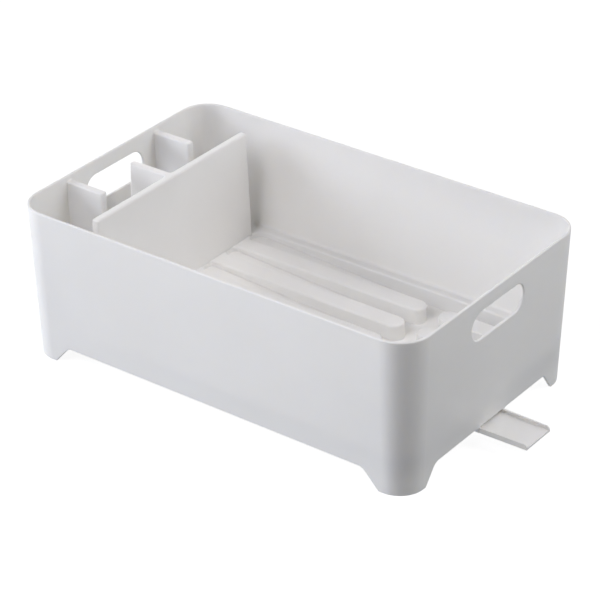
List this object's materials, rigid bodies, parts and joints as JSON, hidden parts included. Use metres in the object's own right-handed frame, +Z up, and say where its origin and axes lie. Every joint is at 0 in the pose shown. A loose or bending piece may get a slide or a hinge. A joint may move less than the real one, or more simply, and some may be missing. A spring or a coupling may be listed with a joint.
{
  "type": "dish drying rack",
  "caption": "Open white plastic tub with a ridged self-draining floor, end hand slots, a low spout, corner feet and a lift-out T-shaped utensil divider.",
  "frame": {"origin": "On the counter under the middle of the whole rack, spout included.", "axes": "+X runs along the rack from the utensil end towards the spout, +Y across it, +Z up."},
  "size_m": [0.4594, 0.2634, 0.15],
  "materials": {
    "case_white": "satin moulded polypropylene, slightly warmer inside",
    "divider_white": "satin moulded polypropylene"
  },
  "bodies": {
    "case": {"rack_case": "case_white"},
    "divider": {"utensil_divider": "divider_white"}
  },
  "joints": [
    {"name": "divider_lift", "type": "slide", "parent": "case", "child": "divider", "axis": [0, 0, 1], "range_m": [0, 0.115]}
  ]
}
